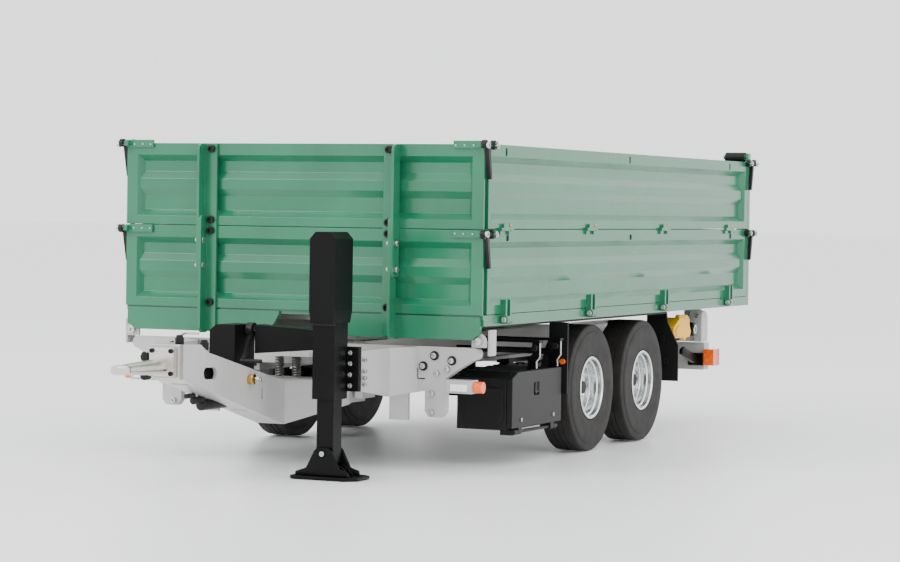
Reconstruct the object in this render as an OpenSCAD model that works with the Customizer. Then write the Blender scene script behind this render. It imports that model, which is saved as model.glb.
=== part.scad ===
// Tandem-axle tipping trailer with double drop-side walls, 1:14 model size.
// Millimetres, +Z up, ground at z = 0, the tow eye points to -Y.
// Inside the modules y = 0 is the outer face of the front wall; placed() moves the part
// so that its origin is the middle of its footprint.

/* [Bed] */
// Outside width of the load bed
bed_w = 182; // [178:1:186]
// Outside length of the load bed
bed_l = 379; // [376:1:384]
// Top of the bed floor above the ground
floor_z = 70.5; // [70:0.5:72]
// Height of one wall board
board_h = 38; // [36:0.5:38]
// Thickness of a wall board
board_t = 5; // [4.5:0.1:5]
// Depth of the pressed grooves in a board
groove_d = 3; // [2:0.1:3.2]
// Plain border at the ends of a grooved board
border = 5.6; // [4:0.1:8]
// Slope at the ends of the grooves
run_out = 2.4; // [1.5:0.1:4]
// Play between a moving board and its neighbours
play = 0.3; // [0.25:0.05:0.4]

/* [Running gear] */
// Tyre outside radius
tyre_r = 31; // [30:0.5:31]
// Tyre width
tyre_w = 16.5; // [15:0.5:17]
// Outer face of the tyres from the centre line
tyre_face = 88; // [87:0.5:89]
// Front axle behind the front wall
axle_y = 143.7; // [142:0.1:145]
// Distance between the axles
axle_gap = 72; // [71:0.5:76]
// Radius of a wheel spindle
spindle_r = 3; // [2.5:0.1:3.2]

/* [Chassis] */
// Inner side of a frame rail from the centre line
rail_x = 24; // [23.5:0.1:24.5]
// Width of a frame rail
rail_w = 6; // [5:0.1:6]
// Underside of the frame rails
rail_z = 42; // [41.5:0.1:42.5]
// Height of the frame rails
rail_h = 15; // [14:0.1:15]
// Tipping pivot behind the front wall
tip_y = 335; // [334:0.5:336]
// Height of the tipping pivot
tip_z = 57.6; // [57.4:0.1:57.8]

/* [Drawbar] */
// Centre of the tow eye ahead of the front wall
eye_reach = 155; // [150:1:160]
// Height of the tow eye
eye_z = 50.5; // [50:0.5:51]
// Outside radius of the tow eye
eye_r = 4.1; // [3.8:0.1:4.4]
// Radius of the hole in the tow eye
eye_bore_r = 1.75; // [1.5:0.05:2]
// Sideways place of the parking jack
jack_x = 40.2; // [39.8:0.2:40.6]
// Parking jack ahead of the front wall
jack_reach = 47.5; // [47:0.5:48]

/* [Hidden] */
$fn = 48;

GREEN = "#4f8f74";
GREY = "#c9cac8";
BLACK = "#1d1d1f";
STEEL = "#b9bcbf";

// Heights and places that follow from the driving dimensions
half_w = bed_w / 2;
lower_z = floor_z;
seam_z = floor_z + board_h + 0.1;
upper_z = seam_z;
wall_top = upper_z + board_h;
floor_t = 2;
edge_h = 4.9;
side_start = board_t + play;
side_end = bed_l - 4.3;
side_len = side_end - side_start;
gate_half = 84.1;
post_in = gate_half + 0.4;
latch_reach = 9.7;
latch_inset = 7.2;
latch_pin_r = 0.9;
latch_top_drop = 0.6;
latch_low_drop = 2.1;
latch_x = half_w + 0.3;
latch_t = 1.8;
nose_tip = eye_reach + eye_r;
tail_tip = bed_l - latch_inset + latch_reach + 2.4;
y_shift = (nose_tip - tail_tip) / 2;

// Lower hinges of the side walls
hinge_x = half_w + 2;
hinge_z = floor_z - 2.3;
hinge_ys = [for (i = [0:3]) 23.5 + i * 105.4];
// Seam hinges between lower and upper boards
seam_x = half_w + 0.95;
seam_r = 0.85;

// Sloped grooves of a board, as depth from the outer face and height
GROOVES = [
    [-1, 4], [0, 4], [groove_d, 6.8], [groove_d, 13.4], [groove_d * 0.4, 16.6],
    [groove_d * 0.4, 21.2], [groove_d, 24.6], [groove_d, 29.4], [0, 32.2], [-1, 32.2]];

module placed() { translate([0, y_shift, 0]) children(); }
module both_sides() {
    children();
    mirror([1, 0, 0]) children();
}
module along_x(x, y, z, r, length) {
    translate([x, y, z]) rotate([0, 90, 0]) cylinder(r = r, h = length);
}
module along_y(x, y, z, r, length) {
    translate([x, y, z]) rotate([-90, 0, 0]) cylinder(r = r, h = length);
}
module block(x0, x1, y0, y1, z0, z1) {
    translate([x0, y0, z0]) cube([x1 - x0, y1 - y0, z1 - z0]);
}
// A flat shape drawn as (y, z) and given a thickness along X
module side_plate(x, thickness) {
    translate([x, 0, 0]) rotate([90, 0, 90]) linear_extrude(thickness) children();
}
// A flat shape drawn as (x, z) and given a thickness along +Y
module front_plate(y, thickness) {
    translate([0, y + thickness, 0]) rotate([90, 0, 0]) linear_extrude(thickness) children();
}

// Grooved wall board along +X, its outer face at y = 0; the grooves run out in a slope
module board(length, border_a, border_b) {
    difference() {
        cube([length, board_t, board_h - 2 * play + 0.2]);
        intersection() {
            rotate([90, 0, 90]) linear_extrude(length) polygon(GROOVES);
            linear_extrude(board_h) polygon([[border_a, -2], [border_a, 0],
                [border_a + run_out, groove_d + 0.01], [length - border_b - run_out, groove_d + 0.01],
                [length - border_b, 0], [length - border_b, -2]]);
        }
    }
}

// ---------------------------------------------------------------- chassis
rail_front = 8;
rail_rear = tip_y - 4;
cradle_y = 180;
cradle_z = 48;

module chassis_rails() {
    lip = 1.6;
    color(GREY) placed() both_sides() difference() {
        block(rail_x, rail_x + rail_w, rail_front, rail_rear, rail_z, rail_z + rail_h);
        block(rail_x + 1.5, rail_x + rail_w + 1, rail_front - 1, rail_rear + 1,
            rail_z + lip, rail_z + rail_h - lip);
    }
}

module cross_members() {
    color(GREY) placed() {
        for (y = [60, 108, cradle_y - 18, cradle_y + 18, 262, 308])
            block(-rail_x, rail_x, y - 3, y + 3, 44, 54);
        both_sides() difference() {
            block(11.5, 14, cradle_y - 15, cradle_y + 15, 43, 53);
            along_x(11, cradle_y, cradle_z, 2.06, 4);
        }
    }
}

bolster_y = 3;
bolster_t = 4;
drawbar_pivot_y = 16;
drawbar_pivot_z = 34;
pivot_pin_r = 2;
flange_y = -38.3;

module front_bolster() {
    tip_r = 2.8;
    console_x = 50;
    hanger_x = rail_x + 1.6;
    color(GREY) placed() {
        both_sides() {
            front_plate(bolster_y, bolster_t) {
                polygon([[0, 46], [59, 46], [59, 41.8], [62.4, 41.8], [62.4, 27], [64.4, 24.4],
                    [70.4, 24.4], [72.4, 27], [72.4, 41.8], [78.6, 46], [86, 50.4], [86, 56],
                    [0, 56]]);
                translate([86, 53.2]) circle(tip_r);
                // lamp arm, a slit below the main plate
                polygon([[57.6, 35.6], [57.6, 41.2], [75, 41.2], [75, 37]]);
            }
            // console plate that the jack or its mirror place bolts to
            intersection() {
                translate([0, 0, 30]) linear_extrude(30) polygon([[console_x - 1.6, flange_y],
                    [console_x, flange_y], [console_x, -8], [58.4, bolster_y],
                    [58.4, bolster_y + bolster_t], [56, bolster_y + bolster_t], [console_x - 1.6, -7]]);
                side_plate(40, 30) polygon([[flange_y, 37.6], [-8, 33.6], [bolster_y, 35.4], [8, 35.4],
                    [8, 55.6], [flange_y, 55]]);
            }
            block(43.9, 53.2, bolster_y + 2, bolster_y + bolster_t, 22.4, 47);
            block(hanger_x, hanger_x + 3.9, bolster_y + bolster_t, 20, 31, rail_z);
            along_x(19, drawbar_pivot_y, drawbar_pivot_z, pivot_pin_r, rail_x - 17);
            // lamp housing
            block(74.6, 87, -1.5, bolster_y + 3, 35.8, 41.7);
        }
        block(-12, 12, -12, bolster_y, 50, 52);
    }
}

module rear_bolster() {
    cheek_in = 76;
    cheek_r = 5.6;
    color(GREY) placed() {
        block(-80, 80, tip_y - 4, tip_y + 4, 46.2, 51.6);
        both_sides() {
            side_plate(cheek_in, 4) {
                translate([tip_y, tip_z]) circle(cheek_r);
                translate([tip_y - cheek_r, 46.2]) square([2 * cheek_r, tip_z - 46.2]);
            }
            along_x(69.4, tip_y, tip_z, 2.5, 8);
        }
    }
}

module bolster_bolts() {
    color(BLACK) placed() both_sides() {
        for (p = [[67, 52], [75.6, 50], [61.6, 47.2]])
            along_y(p[0], bolster_y - 1.9, p[1], 2.1, 1.9, $fn = 6);
        for (p = [[68.3, 44.2], [73.4, 46.2], [66, 35], [66, 26.4]])
            along_y(p[0], bolster_y - 1.4, p[1], 1.5, 1.4, $fn = 6);
    }
}

module axle_beams() {
    beam_half = 66;
    color("#3a3b3d") placed() for (y = [axle_y, axle_y + axle_gap]) {
        block(-beam_half, beam_half, y - 3.5, y + 3.5, tyre_r - 3.5, tyre_r + 3.5);
        both_sides() {
            along_x(beam_half, y, tyre_r, 11, 3.5);
            along_x(beam_half + 3.5, y, tyre_r, spindle_r, 14);
        }
    }
}

module leaf_springs() {
    spring_x = rail_x + 0.5;
    leaf_w = 5;
    color("#2c2d2f") placed() both_sides() {
        for (y = [axle_y, axle_y + axle_gap]) for (i = [0:2]) {
            leaf_r = 140;
            leaf_half = 34 - 8 * i;
            side_plate(spring_x, leaf_w) intersection() {
                translate([y, tyre_r + 3.5 + leaf_r + i * 1.1]) difference() {
                    circle(leaf_r, $fn = 96);
                    circle(leaf_r - 1, $fn = 96);
                }
                translate([y - leaf_half, tyre_r]) square([2 * leaf_half, 12]);
            }
        }
        for (y = [axle_y, axle_y + axle_gap])
            block(spring_x - 0.4, spring_x + leaf_w + 0.4, y - 4, y + 4, tyre_r + 3.6, tyre_r + 6.8);
        for (y = [axle_y - 36, axle_y + axle_gap / 2, axle_y + axle_gap + 36])
            block(spring_x, spring_x + leaf_w, y - 3, y + 3, 36, rail_z);
    }
}

module mudguards() {
    guard_in = 70.5;
    guard_t = 1.2;
    roof_z = 63.6;
    color(BLACK) placed() both_sides() {
        // roof over the tyres, then the narrow front flap and the wide rear flap
        block(guard_in, 81.5, 107.5, 268 + guard_t, roof_z, roof_z + 1);
        block(79.5, 89, 107.5, 107.5 + guard_t, 30, roof_z + 0.5);
        front_plate(268, guard_t) polygon([[guard_in, 27.8], [88.3, 27.8], [88.3, 47], [82.3, 58.6],
            [81.5, roof_z + 0.5], [guard_in, roof_z + 0.5]]);
        along_x(rail_x + rail_w + 0.2, 110, 50, 1.5, 80.4 - rail_x - rail_w);
        along_x(rail_x + rail_w + 0.2, 266.8, 50, 1.5, 73 - rail_x - rail_w);
    }
}

bar_y = 334;
bar_t = 8;
module underrun_bar() {
    color(GREY) placed() difference() {
        block(-80.4, 80.4, bar_y, bar_y + bar_t, 30.5, 45.5);
        block(-79, 79, bar_y + 1.5, bar_y + bar_t + 1, 32, 44);
    }
}

module rear_brackets() {
    tube_r = 3.75;
    color(BLACK) placed() both_sides() {
        // arm from the frame rail down to the underrun bar
        block(rail_x, rail_x + rail_w, 300, rail_rear - 0.2, 32, rail_z);
        block(rail_x, rail_x + rail_w, rail_rear - 1, bar_y - 0.2, 32, 39.8);
        // cross tube carrying the chock holder
        along_x(rail_x + rail_w + 0.2, 318, 53.5, tube_r, 80 - rail_x - rail_w - 0.2);
        // chock holder
        block(68, 72.8, 270, 303, 47, 50);
        block(71.4, 72.8, 270, 303, 50, 60);
        block(68, 71.2, 300, 318, 47, 50);
        // lamp bracket at the end of the bar
        block(72, 80.5, bar_y - 2.6, bar_y - 0.2, 33, 39.8);
    }
}

module amber_lenses() {
    color("#ff8a1e") placed() both_sides() {
        block(80.6, 86.4, bar_y - 1.5, bar_y + 4.2, 33, 42);
        along_y(86.8, 106.1, 45.4, 1.3, 1.4);
        along_x(87, 2.2, 38.6, 2.6, 4.2);
    }
}

module red_lenses() {
    color("#d0405a") placed() both_sides()
        block(82.2, 86.4, bar_y + 4.4, bar_y + 9, 33, 42);
}

module marker_lamps() {
    color("#f2f2ee") placed() both_sides() intersection() {
        block(77, 85, -2.2, -1.5, 36.8, 39.9);
        along_y(81, -3, 38.35, 4.2, 3);
    }
}

// ---------------------------------------------------------------- toolbox
box_y0 = 44;
box_y1 = 104;
box_z0 = 16.5;
box_z1 = 43;
box_in = 60;
box_face = 84.5;
door_x = 84.8;
door_t = 2.7;
door_axis_x = 86;
door_axis_z = 15.4;

// Side outline of the toolbox, with its front upper edge sloped off
module toolbox_side(skin) {
    polygon([[box_y0 + skin, box_z0 + skin], [box_y1 - skin, box_z0 + skin], [box_y1 - skin, box_z1 - skin],
        [box_y0 + 7, box_z1 - skin], [box_y0 + skin, box_z1 - 2.6 - skin]]);
}
module toolbox_shell() {
    wall = 1.2;
    color(BLACK) placed() {
        difference() {
            side_plate(box_in, box_face - box_in) toolbox_side(0);
            side_plate(box_in + wall, box_face - box_in) toolbox_side(wall);
        }
        for (y = [box_y0 + 4, box_y1 - 8]) {
            along_y(door_axis_x, y, door_axis_z, 1.4, 4);
            block(80, door_axis_x, y, y + 4, door_axis_z - 1.4, box_z0 - 0.3);
            block(80, box_face, y, y + 4, door_axis_z, box_z0 + 0.5);
        }
        along_y(door_axis_x, box_y0 + 4, door_axis_z, 0.8, box_y1 - box_y0 - 8);
    }
}

module toolbox_door() {
    color(BLACK) placed() {
        difference() {
            intersection() {
                side_plate(door_x, door_t) toolbox_side(0);
                block(door_x, door_x + door_t, box_y0, box_y1, box_z0 + 0.9, box_z1);
            }
            block(door_x + 1.4, door_x + 4, 70, 76.4, 31.4, 37.4);
        }
        block(door_x + 1.2, door_x + door_t, 72.4, 74, 32, 37.4);
        for (y = [box_y0 + 8.4, box_y1 - 12.4]) difference() {
            union() {
                along_y(door_axis_x, y, door_axis_z, 1.4, 4);
                block(door_axis_x - 1.1, door_axis_x + 1.3, y, y + 4, door_axis_z, box_z0 + 1.4);
            }
            along_y(door_axis_x, y - 1, door_axis_z, 0.87, 6);
        }
    }
}

module toolbox_straps() {
    color(STEEL) placed() for (y = [74, 100]) {
        front_plate(y, 1.2) polygon([[82.4, box_z1 + 0.1], [86.6, box_z1 + 0.3], [86.4, 46.6], [88.2, 49],
            [88.2, 55.6], [84.6, 55.6], [84.6, 50], [82.4, 48.4]]);
        block(rail_x + rail_w, 88.2, y, y + 4.2, 55.6, 56.8);
    }
}

module wheel_chocks() {
    color("#e8c800") placed() both_sides()
        side_plate(73, 11) polygon([[273, 50.2], [299, 50.2], [301, 53], [297, 59], [283, 61], [273, 56]]);
}

// ---------------------------------------------------------------- parking jack
jack_y = -jack_reach;
crank_y = jack_y + 0.8;
crank_z = 63.2;

module jack_tube() {
    color(BLACK) placed() {
        difference() {
            block(jack_x - 5.25, jack_x + 5.25, jack_y - 6.4, jack_y + 6.4, 34.5, 67.4);
            block(jack_x - 4.1, jack_x + 4.1, jack_y - 4.1, jack_y + 4.1, 30, 70);
        }
        block(jack_x + 3, 50.8, jack_y + 6.4, flange_y, 37.6, 57);
    }
}

module jack_gearbox() {
    color(BLACK) placed() {
        // head cover, hollow for the rising leg
        difference() {
            front_plate(jack_y - 8.6, 17.2)
                polygon([[jack_x - 5.2, 67.4], [jack_x + 5.2, 67.4], [jack_x + 6.15, 73],
                    [jack_x + 6.15, 103.8], [jack_x + 3.4, 106.8], [jack_x - 3.4, 106.8],
                    [jack_x - 6.15, 103.8], [jack_x - 6.15, 73]]);
            block(jack_x - 4.3, jack_x + 4.3, jack_y - 4.3, jack_y + 4.3, 60, 92);
        }
        // tapered arm carrying the cross shaft
        front_plate(jack_y - 1.5, 8)
            polygon([[4, 53], [jack_x - 5.25, 55.5], [jack_x - 5.25, 64], [4, 65.6]]);
        // bevel gear housing, cut off below along the slope of the drawbar
        intersection() {
            front_plate(jack_y - 10.5, 18)
                polygon([[-13.6, 51], [-3.6, 44], [-1, 44], [-1, 65.6], [-10.5, 65.6], [-13.6, 63]]);
            side_plate(-14, 14) polygon([[jack_y - 11, 49], [jack_y - 11, 66], [jack_y + 8, 66],
                [jack_y + 8, 44.8]]);
        }
        along_x(-2, crank_y, crank_z, 2, 7);
    }
}

module jack_leg() {
    pin_z = 11;
    color(BLACK) placed() difference() {
        block(jack_x - 4, jack_x + 4, jack_y - 4, jack_y + 4, 7, 64);
        along_y(jack_x, jack_y - 5, pin_z, 1.26, 10);
    }
}

module jack_foot() {
    pin_z = 11;
    color(BLACK) placed() {
        block(jack_x - 15, jack_x + 17, jack_y - 10, jack_y + 10, 0, 1.6);
        for (y = [jack_y - 6.4, jack_y + 4.4]) front_plate(y, 2)
            polygon([[jack_x - 13, 1.6], [jack_x + 13, 1.6], [jack_x + 4, 13], [jack_x - 4, 13]]);
        along_y(jack_x, jack_y - 7.4, pin_z, 1.2, 14.8);
    }
}

module jack_crank() {
    arm_y = -55.2;
    arm_z = 50;
    color(STEEL) placed() {
        difference() {
            union() {
                along_x(-0.5, crank_y, crank_z, 3.2, 3);
                side_plate(0.6, 1.7) polygon([[crank_y - 1.5, crank_z - 1], [crank_y + 1.5, crank_z - 1],
                    [arm_y + 1, arm_z], [arm_y - 1, arm_z]]);
                along_x(0.6, arm_y, arm_z, 1.1, 1.7);
            }
            along_x(-2, crank_y, crank_z, 2.07, 8);
        }
        along_x(2.3, arm_y, arm_z, 0.9, 8.4);
    }
}

// ---------------------------------------------------------------- drawbar
nose_y = -116.5;
nose_half = 6.8;
beam_half = 7;
flare_y = -26;
drawbar_half = 24;

// Plan and side outlines of the drawbar box, drawn in by the skin thickness
module drawbar_plan(skin) {
    polygon([[-beam_half + skin, nose_y + skin], [beam_half - skin, nose_y + skin],
        [beam_half - skin, flare_y + skin / 4], [drawbar_half - skin, 4 + skin / 4],
        [drawbar_half - skin, 8 - skin], [-drawbar_half + skin, 8 - skin],
        [-drawbar_half + skin, 4 + skin / 4], [-beam_half + skin, flare_y + skin / 4]]);
}
module drawbar_side(skin) {
    side_plate(-40, 80) polygon([[nose_y, 44.8 + skin], [nose_y, 59.4 - skin], [-102, 59 - skin],
        [-95.5, 55.4 - skin], [flare_y, 39.8 - skin], [8, 39.8 - skin], [8, 29.2 + skin],
        [flare_y, 20.6 + skin]]);
}
module drawbar_beam() {
    skin = 1.6;
    window_r = 2.6;
    color(GREY) placed() {
        difference() {
            intersection() {
                linear_extrude(80) drawbar_plan(0);
                drawbar_side(0);
            }
            intersection() {
                linear_extrude(80) drawbar_plan(skin);
                drawbar_side(skin);
            }
            side_plate(-40, 80) {
                translate([-96.8, 46.6]) circle(window_r);
                translate([-90.6, 46.2]) circle(window_r);
                translate([-96.8, 44]) square([6.2, 5]);
            }
            for (y = [-108.4, -56]) block(-4, 4, y, y + 2.4, 20, 44.6);
            side_plate(0, 40) translate([-47.8, 33]) square([1.5, 4.8]);
        }
        both_sides() difference() {
            block(19.5, drawbar_half, 8, 21, 29, 39);
            along_x(18, drawbar_pivot_y, drawbar_pivot_z, pivot_pin_r + 0.06, 8);
        }
    }
}

module towing_eye() {
    plate_t = 2.6;
    flange_face = nose_y - 6.2;
    ring_core = 1;
    ring_edge = 0.9;
    color(STEEL) placed() {
        front_plate(nose_y - plate_t, plate_t) translate([-nose_half, 45.2]) square([2 * nose_half, 14.4]);
        front_plate(flange_face, nose_y - plate_t - flange_face) translate([-5.8, 46.4]) square([11.6, 12]);
        difference() {
            union() {
                translate([0, -eye_reach, eye_z]) {
                    translate([0, 0, -ring_core]) cylinder(r = eye_r, h = 2 * ring_core);
                    for (m = [0, 1]) mirror([0, 0, m]) translate([0, 0, ring_core])
                        cylinder(r1 = eye_r, r2 = eye_r - 1.1, h = ring_edge);
                }
                translate([0, flange_face, eye_z]) rotate([90, 0, 0])
                    cylinder(r1 = 3.5, r2 = 2.2, h = eye_reach + flange_face - 2.2);
            }
            translate([0, -eye_reach, eye_z - eye_r]) cylinder(r = eye_bore_r, h = 2 * eye_r);
        }
    }
}

// Points of a coil and of the round wire swept along it
spring_turns = 8;
spring_z0 = 40.1;
spring_z1 = 49.9;
spring_r = 1.8;
spring_wire = 0.42;
spring_steps = 88;
function coil_point(i) = let (t = i / spring_steps, a = 360 * spring_turns * t) [
    spring_r * cos(a), spring_r * sin(a),
    spring_z0 + spring_wire + (spring_z1 - spring_z0 - 2 * spring_wire) * t];
function coil_ring(i) = let (p = coil_point(i), a = 360 * spring_turns * i / spring_steps)
    [for (k = [0:5]) [p[0] + spring_wire * cos(60 * k) * cos(a), p[1] + spring_wire * cos(60 * k) * sin(a),
        p[2] + spring_wire * sin(60 * k)]];
module coil_spring() {
    rings = [for (i = [0:spring_steps]) each coil_ring(i)];
    walls = [for (i = [0:spring_steps - 1], k = [0:5]) let (a = 6 * i + k, b = 6 * i + (k + 1) % 6)
        each [[a, a + 6, b], [b, a + 6, b + 6]]];
    ends = [[for (k = [0:5]) k], [for (k = [5:-1:0]) 6 * spring_steps + k]];
    polyhedron(points = rings, faces = concat(walls, ends));
}
module drawbar_springs() {
    color(STEEL) placed() for (x = [-6.2, 2.4]) translate([x, -6, 0]) coil_spring();
}

// ---------------------------------------------------------------- bed
module bed_floor() {
    color(GREEN) placed() {
        block(-half_w, half_w, 1.2, bed_l, floor_z - floor_t, floor_z);
        both_sides() {
            block(half_w - 5, half_w, 2, bed_l, floor_z - edge_h, floor_z - floor_t);
            for (y = hinge_ys) {
                along_y(hinge_x, y - 1.4, hinge_z, 1.9, 2.8);
                block(half_w - 1, hinge_x, y - 1.4, y + 1.4, hinge_z - 1.9, hinge_z + 1.9);
                along_y(hinge_x, y - 3.4, hinge_z, 0.8, 6.8);
            }
        }
    }
}

module bed_subframe() {
    lug_r = 5.6;
    color(GREEN) placed() {
        both_sides() {
            difference() {
                block(rail_x - 2, rail_x + 4, 4, bed_l - 7, 58, floor_z - floor_t);
                block(rail_x, rail_x + 5, 4 - 1, bed_l, 59.4, floor_z - floor_t - 1.4);
            }
            front_plate(0, 2) polygon([[10, floor_z - floor_t], [half_w - 1, floor_z - floor_t],
                [half_w - 1, 62.5], [half_w - 5, 59.5], [15.5, 59.5]]);
            block(10, half_w - 1, 0, 1.1, floor_z - floor_t, floor_z - 0.7);
            difference() {
                side_plate(70, 5.5) {
                    translate([tip_y, tip_z]) circle(lug_r);
                    translate([tip_y - lug_r, tip_z]) square([2 * lug_r, floor_z - floor_t - tip_z]);
                }
                along_x(69, tip_y, tip_z, 2.56, 8);
            }
            block(4.6, 6.6, cradle_y - 5, cradle_y + 5, 61, floor_z - floor_t);
        }
        along_x(-6, cradle_y, 63.8, 1, 12);
        for (y = [18, 70, 122, 160, 200, 236, 288, tip_y])
            block(-half_w + 5.2, half_w - 5.2, y - 2, y + 2, 65.6, floor_z - floor_t);
    }
}

module front_board(z) {
    color(GREEN) placed() difference() {
        translate([-half_w, 0, z]) board(bed_w, border, border);
        both_sides() block(half_w - 1.6, half_w + 1, 1.2, board_t + 1, z - 1, z + board_h + 1);
    }
}
module front_board_lower() { front_board(lower_z); }
module front_board_upper() { front_board(upper_z); }

post_x = 42.5;
module front_posts() {
    flange_w = 6.3;
    rib_t = 1.3;
    rib_low = seam_z - 22;
    color(GREEN) placed() both_sides() {
        block(post_x, post_x + flange_w, -1.3, 0, 60, wall_top - 0.6);
        side_plate(post_x + flange_w, rib_t)
            polygon([[0, rib_low], [-5.4, rib_low], [-6.6, rib_low + 2], [-6.6, wall_top - 3],
                [-5.6, wall_top - 1.2], [-4, wall_top - 0.6], [0, wall_top - 0.6]]);
        side_plate(post_x + flange_w - rib_t, rib_t)
            polygon([[0, 59], [-4.6, 59], [-6.6, 61], [-6.6, seam_z + 3], [-5.6, seam_z + 4.5],
                [0, seam_z + 4.5]]);
    }
}

module post_bolts() {
    color("#55585a") placed() both_sides() {
        for (z = [lower_z + 2.5, seam_z - 2.6, seam_z + 2.4, wall_top - 2.6])
            along_y(post_x + 2.7, -2.7, z, 1.7, 1.4, $fn = 6);
        for (z = [seam_z - 7, seam_z - 18.6]) {
            along_x(post_x + 7.6, -4, z, 1.4, 1.5);
            along_x(post_x + 3.4, -4, z, 1.1, 1.6);
        }
    }
}

module corner_posts() {
    ear_z = wall_top + 2.7;
    color(GREEN) placed() both_sides() {
        block(post_in, half_w, side_end + play, bed_l, floor_z, wall_top);
        block(half_w - 1.6, half_w, side_end + play, bed_l, wall_top - 1, ear_z + 2.2);
        along_x(76, gate_axis_y, gate_axis_z, 1, half_w - 76);
    }
}

// Keeper plate, its end block and the pin that a latch hooks over
module keeper_pin(y, z) { along_x(half_w - 1.2, y, z, latch_pin_r, 3.7); }
module front_keeper(z) {
    pin_y = latch_inset - latch_reach;
    block(76.5, half_w, -1.1, 0, z - 1.7, z + 1.7);
    block(half_w - 2.2, half_w, pin_y - 1, 0, z - 1.2, z + 1.2);
    keeper_pin(pin_y, z);
}
module rear_keeper(z) {
    pin_y = bed_l - latch_inset + latch_reach;
    block(post_in + 0.3, half_w, bed_l, pin_y + 1.2, z - 1.7, z + 1.7);
    keeper_pin(pin_y, z);
}
module latch_keepers() {
    color(GREEN) placed() both_sides() for (z = [top_latch_z, low_latch_z]) {
        front_keeper(z);
        rear_keeper(z);
    }
}

// ---------------------------------------------------------------- side walls
module latch_bolt(y, z) {
    along_x(half_w - 1, y, z, 1, 3.6);
    along_x(latch_x + latch_t + 0.3, y, z, 1.6, 0.9, $fn = 6);
}
module side_lower_wall() {
    difference() {
        translate([half_w, side_start, lower_z + play]) rotate([0, 0, 90]) board(side_len, 3, border);
        for (i = [0:2]) block(half_w - 1.5, half_w + 1, 26 + 158.5 * i, 29 + 158.5 * i,
            seam_z - 5.2, seam_z - 2.6);
    }
    for (y = hinge_ys) {
        for (s = [-3.3, 1.7]) difference() {
            union() {
                along_y(hinge_x, y + s, hinge_z, 1.9, 1.6);
                block(half_w, hinge_x + 0.8, y + s, y + s + 1.6, hinge_z + 1, hinge_z + 9);
            }
            along_y(hinge_x, y + s - 1, hinge_z, 0.88, 4);
        }
        for (s = [-6.5, 3.3]) {
            along_y(seam_x, y + s, seam_z, seam_r, 3.2);
            block(half_w, seam_x, y + s, y + s + 3.2, seam_z - 2.4, seam_z);
        }
        along_y(seam_x, y - 4, seam_z, 0.4, 8);
    }
    for (y = [latch_inset, bed_l - latch_inset]) latch_bolt(y, seam_z - latch_low_drop);
}
module side_upper_wall() {
    difference() {
        translate([half_w, side_start, upper_z + play]) rotate([0, 0, 90]) board(side_len, 3, border);
        for (i = [0:2]) block(half_w - 1.5, half_w + 1, 24 + 158.5 * i, 26 + 158.5 * i,
            wall_top - 5, wall_top - 1.6);
    }
    for (y = hinge_ys) difference() {
        union() {
            along_y(seam_x, y - 3, seam_z, seam_r, 6);
            block(half_w, seam_x + 0.3, y - 3, y + 3, seam_z, seam_z + 2.6);
        }
        along_y(seam_x, y - 4, seam_z, 0.46, 8);
    }
    for (y = [latch_inset, bed_l - latch_inset]) latch_bolt(y, wall_top - latch_top_drop);
}
module side_lower_right() { color(GREEN) placed() side_lower_wall(); }
module side_upper_right() { color(GREEN) placed() side_upper_wall(); }
module side_lower_left() { color(GREEN) placed() mirror([1, 0, 0]) side_lower_wall(); }
module side_upper_left() { color(GREEN) placed() mirror([1, 0, 0]) side_upper_wall(); }

// ---------------------------------------------------------------- tailgate
gate_axis_y = bed_l - 2.7;
gate_axis_z = wall_top + 2.7;
gate_seam_y = bed_l + 0.95;
gate_hinge_xs = [-56, 0, 56];

module tailgate_board(z) {
    translate([-gate_half, bed_l, z]) mirror([0, 1, 0]) board(2 * gate_half, border, border);
}
module tailgate_upper() {
    barrel_r = 2.2;
    color(GREEN) placed() {
        tailgate_board(upper_z + play);
        both_sides() difference() {
            union() {
                along_x(77, gate_axis_y, gate_axis_z, barrel_r, 12);
                block(77, 83.5, gate_axis_y - 1.6, gate_axis_y + 1.6, wall_top - 2, gate_axis_z);
            }
            along_x(70, gate_axis_y, gate_axis_z, 1.06, 30);
        }
        for (x = gate_hinge_xs) {
            for (s = [-6.5, 3.3]) {
                along_x(x + s, gate_seam_y, seam_z, seam_r, 3.2);
                block(x + s, x + s + 3.2, bed_l, gate_seam_y, seam_z, seam_z + 2.6);
            }
            along_x(x - 4, gate_seam_y, seam_z, 0.4, 8);
        }
    }
}
module tailgate_lower() {
    color(GREEN) placed() {
        difference() {
            tailgate_board(lower_z + play);
            block(-half_w, half_w, bed_l - board_t - 1, bed_l - 2, lower_z, lower_z + 0.8);
        }
        for (x = gate_hinge_xs) difference() {
            union() {
                along_x(x - 3, gate_seam_y, seam_z, seam_r, 6);
                block(x - 3, x + 3, bed_l, gate_seam_y, seam_z - 2.4, seam_z);
            }
            along_x(x - 4, gate_seam_y, seam_z, 0.46, 8);
        }
    }
}

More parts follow.
